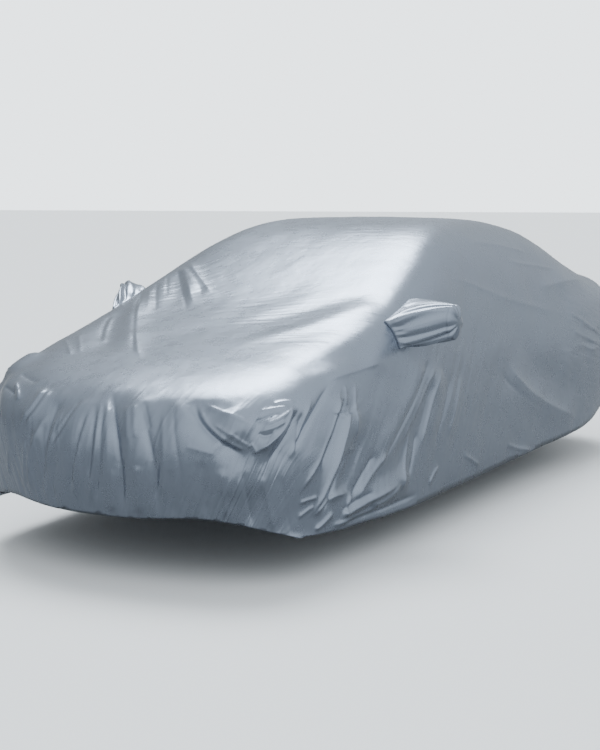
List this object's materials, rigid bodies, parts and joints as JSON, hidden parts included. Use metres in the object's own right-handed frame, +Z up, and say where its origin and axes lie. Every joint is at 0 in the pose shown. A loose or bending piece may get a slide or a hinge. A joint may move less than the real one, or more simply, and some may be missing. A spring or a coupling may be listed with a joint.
{
  "type": "fitted car cover",
  "caption": "Fitted weather cover for a three-box saloon car: a hollow draped cloth shell, open below, with a sewn-in pouch over each door mirror.",
  "frame": {"origin": "point on the inner face of the top cloth, on the middle line, where the car's roof carries the cover", "axes": "+Z up, -Y to the car's nose and +Y to its tail, +X to the car's left-hand side; the ground that the car stands on is about 1.44 m below the origin"},
  "size_m": [1.969, 4.4166, 1.2744],
  "materials": {
    "coated_cloth": "silver-grey coated polyester, soft satin sheen",
    "pouch_cloth": "silver-grey coated polyester, soft satin sheen"
  },
  "bodies": {
    "root": {"cover_sheet": "coated_cloth", "mirror_pouch_left": "pouch_cloth", "mirror_pouch_right": "pouch_cloth"}
  },
  "joints": []
}
